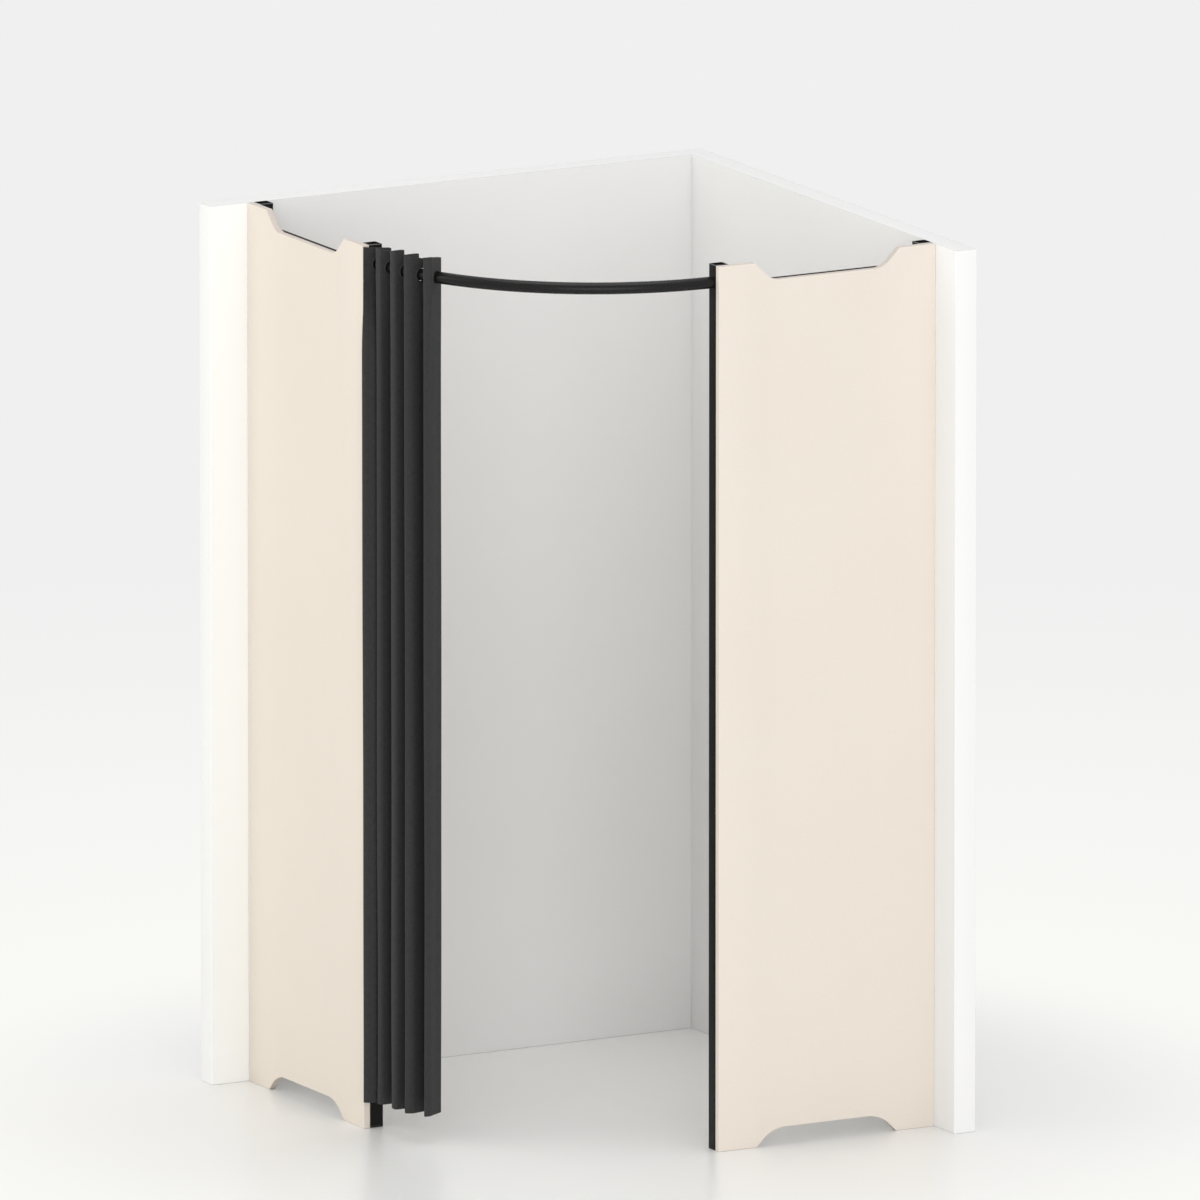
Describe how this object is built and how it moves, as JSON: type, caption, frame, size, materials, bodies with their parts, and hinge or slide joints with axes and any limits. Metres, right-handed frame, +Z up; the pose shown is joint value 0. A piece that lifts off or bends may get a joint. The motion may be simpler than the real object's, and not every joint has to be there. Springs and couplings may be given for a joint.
{
  "type": "portable fitting room",
  "caption": "Corner fitting room with cream notched boards on black tube frames, white rear walls and a curtain on a quarter-circle rail.",
  "frame": {"origin": "on the floor under the middle of the footprint of the bounding box", "axes": "+Z up, +X to the right along the rear wall, +Y from the doorway corner towards the rear wall"},
  "size_m": [1.3342, 1.3342, 2.1103],
  "materials": {
    "board_laminate": "cream laminate, satin",
    "wall_white": "white laminate, matt",
    "frame_coat": "black powder coat, fine texture",
    "rail_coat": "black powder coat, satin",
    "black_plastic": "black moulded plastic",
    "fastener_steel": "black oxide",
    "eyelet_metal": "black lacquer",
    "curtain_cloth": "charcoal woven cloth"
  },
  "bodies": {
    "room": {"rear_wall": "wall_white", "side_wall": "wall_white", "wall_bolt_1": "fastener_steel", "wall_bolt_2": "fastener_steel", "wall_bolt_3": "fastener_steel", "front_board": "board_laminate", "front_top_bar": "frame_coat", "front_bottom_bar": "frame_coat", "front_wall_post": "frame_coat", "front_wall_post_foot": "black_plastic", "front_wall_post_cap": "black_plastic", "front_door_post": "frame_coat", "front_door_post_foot": "black_plastic", "front_door_post_cap": "black_plastic", "front_wall_bolt_1": "fastener_steel", "front_wall_bolt_2": "fastener_steel", "front_rail_bolt": "fastener_steel", "front_board_screw_1": "fastener_steel", "front_board_screw_2": "fastener_steel", "front_board_screw_3": "fastener_steel", "front_board_screw_4": "fastener_steel", "left_board": "board_laminate", "left_top_bar": "frame_coat", "left_bottom_bar": "frame_coat", "left_wall_post": "frame_coat", "left_wall_post_foot": "black_plastic", "left_wall_post_cap": "black_plastic", "left_door_post": "frame_coat", "left_door_post_foot": "black_plastic", "left_door_post_cap": "black_plastic", "left_wall_bolt_1": "fastener_steel", "left_wall_bolt_2": "fastener_steel", "left_rail_bolt": "fastener_steel", "left_board_screw_1": "fastener_steel", "left_board_screw_2": "fastener_steel", "left_board_screw_3": "fastener_steel", "left_board_screw_4": "fastener_steel", "curtain_rail": "rail_coat", "left_rail_plug": "black_plastic", "front_rail_plug": "black_plastic", "curtain_sheet_1": "curtain_cloth", "curtain_eyelet_1": "eyelet_metal"},
    "curtain_fold_2": {"curtain_sheet_2": "curtain_cloth", "curtain_eyelet_2": "eyelet_metal"},
    "curtain_fold_3": {"curtain_sheet_3": "curtain_cloth", "curtain_eyelet_3": "eyelet_metal"},
    "curtain_fold_4": {"curtain_sheet_4": "curtain_cloth", "curtain_eyelet_4": "eyelet_metal"},
    "curtain_fold_5": {"curtain_sheet_5": "curtain_cloth", "curtain_eyelet_5": "eyelet_metal"},
    "curtain_fold_6": {"curtain_sheet_6": "curtain_cloth", "curtain_eyelet_6": "eyelet_metal"},
    "curtain_fold_7": {"curtain_sheet_7": "curtain_cloth", "curtain_eyelet_7": "eyelet_metal"},
    "curtain_fold_8": {"curtain_sheet_8": "curtain_cloth", "curtain_eyelet_8": "eyelet_metal"},
    "curtain_fold_9": {"curtain_sheet_9": "curtain_cloth", "curtain_eyelet_9": "eyelet_metal"}
  },
  "joints": [
    {"name": "curtain_draw_1", "type": "hinge", "parent": "room", "child": "curtain_fold_2", "pos_m": [0.03875, 0.03875, 2.058], "axis": [0, 0, 1], "range_deg": [0, 8.1]},
    {"name": "curtain_draw_2", "type": "hinge", "parent": "curtain_fold_2", "child": "curtain_fold_3", "pos_m": [0.03875, 0.03875, 2.058], "axis": [0, 0, 1], "range_deg": [0, 8.1]},
    {"name": "curtain_draw_3", "type": "hinge", "parent": "curtain_fold_3", "child": "curtain_fold_4", "pos_m": [0.03875, 0.03875, 2.058], "axis": [0, 0, 1], "range_deg": [0, 8.1]},
    {"name": "curtain_draw_4", "type": "hinge", "parent": "curtain_fold_4", "child": "curtain_fold_5", "pos_m": [0.03875, 0.03875, 2.058], "axis": [0, 0, 1], "range_deg": [0, 8.1]},
    {"name": "curtain_draw_5", "type": "hinge", "parent": "curtain_fold_5", "child": "curtain_fold_6", "pos_m": [0.03875, 0.03875, 2.058], "axis": [0, 0, 1], "range_deg": [0, 8.1]},
    {"name": "curtain_draw_6", "type": "hinge", "parent": "curtain_fold_6", "child": "curtain_fold_7", "pos_m": [0.03875, 0.03875, 2.058], "axis": [0, 0, 1], "range_deg": [0, 8.1]},
    {"name": "curtain_draw_7", "type": "hinge", "parent": "curtain_fold_7", "child": "curtain_fold_8", "pos_m": [0.03875, 0.03875, 2.058], "axis": [0, 0, 1], "range_deg": [0, 8.1]},
    {"name": "curtain_draw_8", "type": "hinge", "parent": "curtain_fold_8", "child": "curtain_fold_9", "pos_m": [0.03875, 0.03875, 2.058], "axis": [0, 0, 1], "range_deg": [0, 8.1]}
  ],
  "couplings": [
    {"joint": "curtain_draw_2", "follows": "curtain_draw_1", "ratio": 1},
    {"joint": "curtain_draw_3", "follows": "curtain_draw_1", "ratio": 1},
    {"joint": "curtain_draw_4", "follows": "curtain_draw_1", "ratio": 1},
    {"joint": "curtain_draw_5", "follows": "curtain_draw_1", "ratio": 1},
    {"joint": "curtain_draw_6", "follows": "curtain_draw_1", "ratio": 1},
    {"joint": "curtain_draw_7", "follows": "curtain_draw_1", "ratio": 1},
    {"joint": "curtain_draw_8", "follows": "curtain_draw_1", "ratio": 1}
  ]
}
